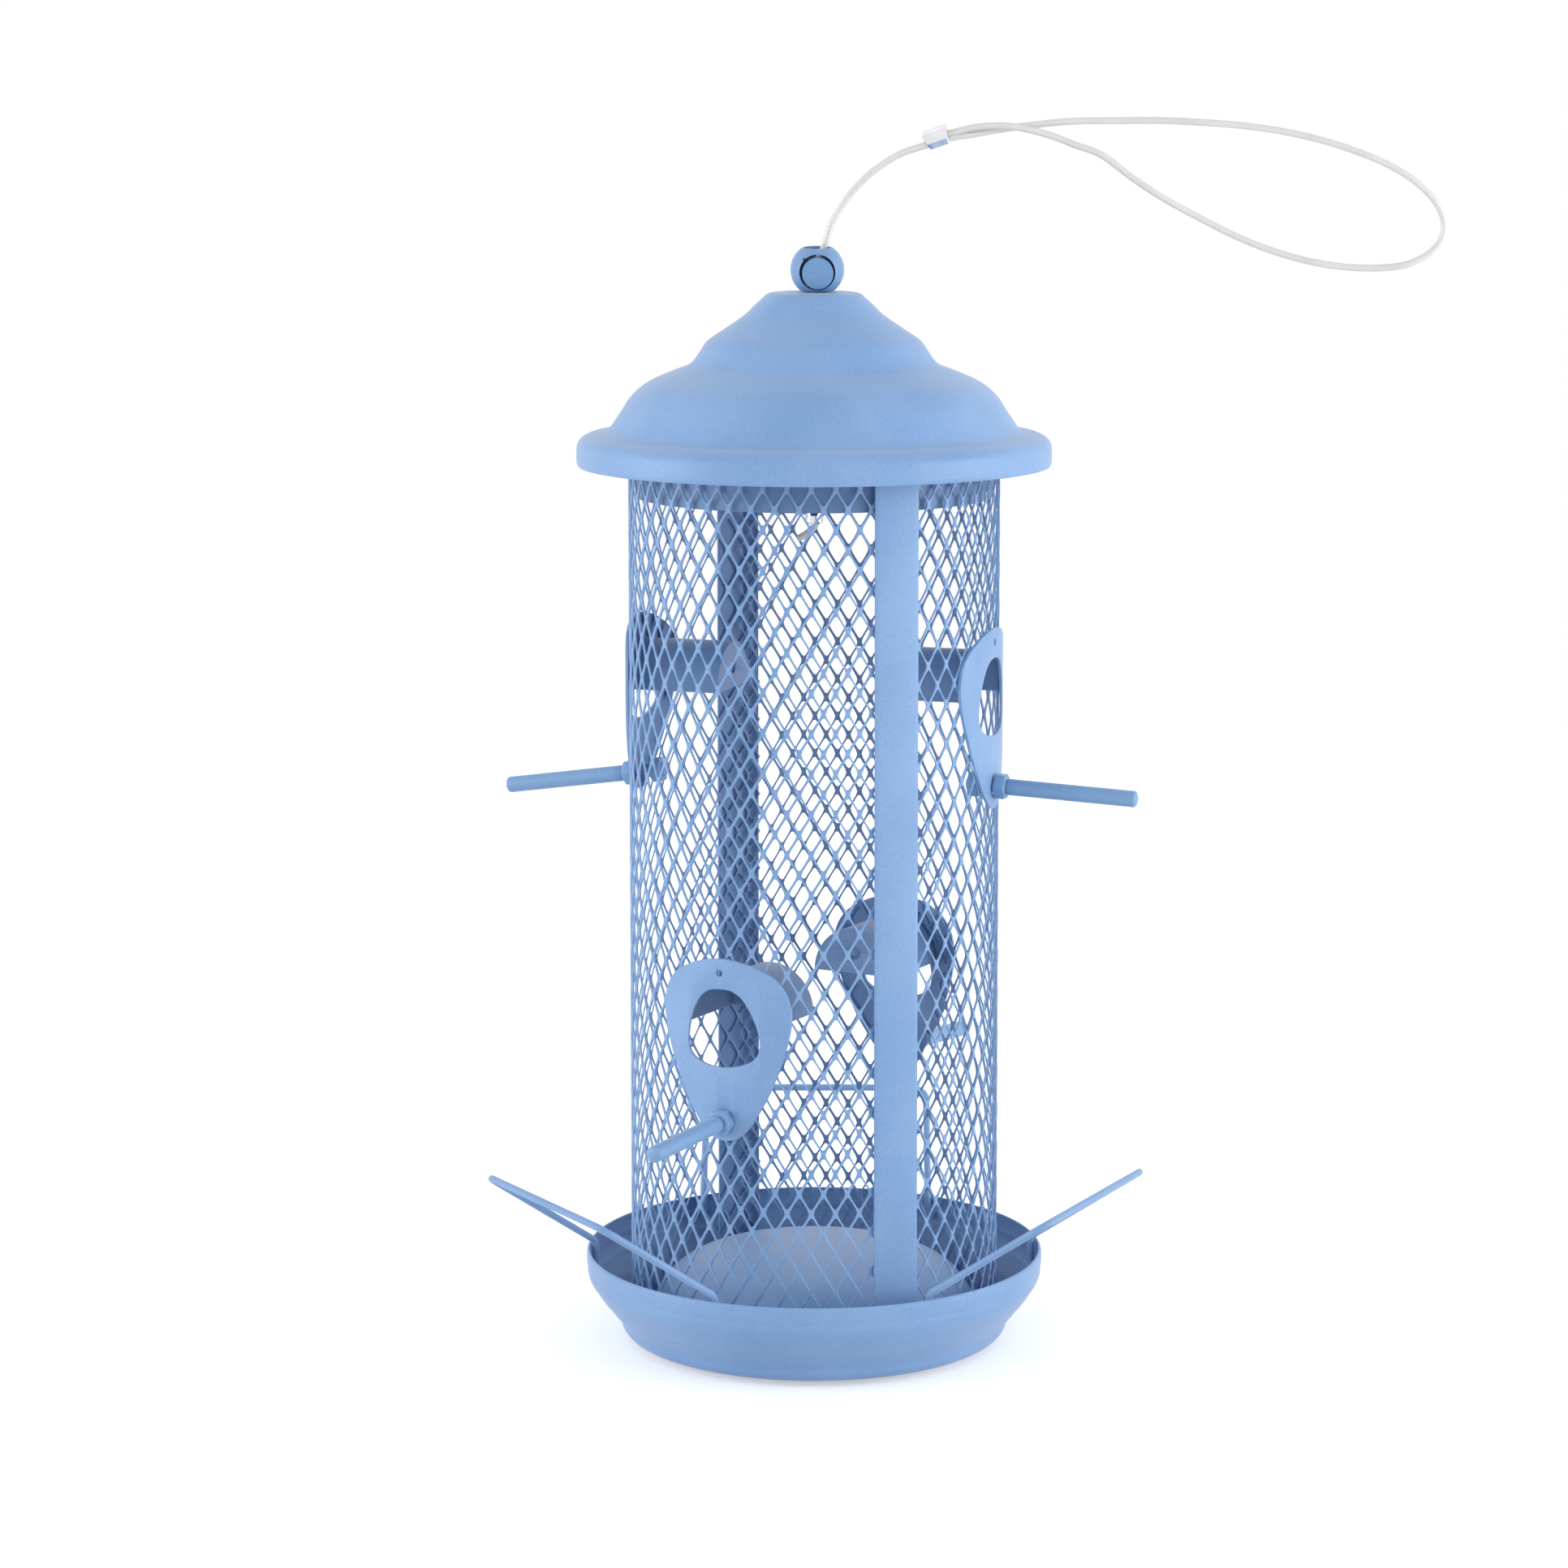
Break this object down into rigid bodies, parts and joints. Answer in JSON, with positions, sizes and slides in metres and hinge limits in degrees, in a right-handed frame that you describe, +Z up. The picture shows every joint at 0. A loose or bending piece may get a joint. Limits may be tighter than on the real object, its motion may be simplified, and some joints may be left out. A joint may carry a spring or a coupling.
{
  "type": "seed bird feeder",
  "caption": "Hanging mesh-tube seed bird feeder with hooded seed ports, rod and wire perches, a dished tray, a lid that slides up the hanging cable and a push-button ball lock",
  "frame": {"origin": "middle of the tray's flat underside, on the tube's axis", "axes": "+Z up along the tube, +X to the right as the picture shows it, -Y towards the camera (the front)"},
  "size_m": [0.2704, 0.1738, 0.3494],
  "materials": {
    "blue_coat": "satin powder coat",
    "cable_steel": "bare wire rope",
    "crimp_aluminium": "dull pressed sleeve",
    "spring_steel": "bright spring wire"
  },
  "bodies": {
    "feeder": {"tray": "blue_coat", "seed_dome": "blue_coat", "mesh_front_right": "blue_coat", "mesh_right": "blue_coat", "mesh_back_right": "blue_coat", "mesh_back": "blue_coat", "mesh_back_left": "blue_coat", "mesh_left": "blue_coat", "mesh_front_left": "blue_coat", "mesh_front": "blue_coat", "top_ring": "blue_coat", "strap_front": "blue_coat", "strap_back": "blue_coat", "hanger_bridge": "blue_coat", "wire_perch_left": "blue_coat", "wire_perch_right": "blue_coat", "wire_perch_back": "blue_coat", "port_plate_lower_front": "blue_coat", "seed_hood_lower_front": "blue_coat", "perch_rod_lower_front": "blue_coat", "perch_outer_nut_lower_front": "blue_coat", "perch_inner_nut_lower_front": "blue_coat", "port_plate_upper_right": "blue_coat", "seed_hood_upper_right": "blue_coat", "perch_rod_upper_right": "blue_coat", "perch_outer_nut_upper_right": "blue_coat", "perch_inner_nut_upper_right": "blue_coat", "port_plate_lower_back": "blue_coat", "seed_hood_lower_back": "blue_coat", "perch_rod_lower_back": "blue_coat", "perch_outer_nut_lower_back": "blue_coat", "perch_inner_nut_lower_back": "blue_coat", "port_plate_upper_left": "blue_coat", "seed_hood_upper_left": "blue_coat", "perch_rod_upper_left": "blue_coat", "perch_outer_nut_upper_left": "blue_coat", "perch_inner_nut_upper_left": "blue_coat", "cable_core": "cable_steel", "cable_stop": "crimp_aluminium"},
    "lid": {"lid": "blue_coat"},
    "ball_lock": {"lock_ball": "blue_coat", "button_spring": "spring_steel", "hanging_cable": "cable_steel", "loop_sleeve": "crimp_aluminium"},
    "button": {"push_button": "blue_coat"}
  },
  "joints": [
    {"name": "lid_slide", "type": "slide", "parent": "feeder", "child": "lid", "axis": [0, 0, 1], "range_m": [0, 0.03], "deforming": ["cable_core"]},
    {"name": "ball_slide", "type": "slide", "parent": "lid", "child": "ball_lock", "axis": [0, 0, 1], "range_m": [0, 0.012], "deforming": ["cable_core"]},
    {"name": "button_press", "type": "slide", "parent": "ball_lock", "child": "button", "axis": [0, 1, 0], "range_m": [0, 0.0013], "stiffness_N_per_m": 400, "deforming": ["button_spring"]}
  ]
}
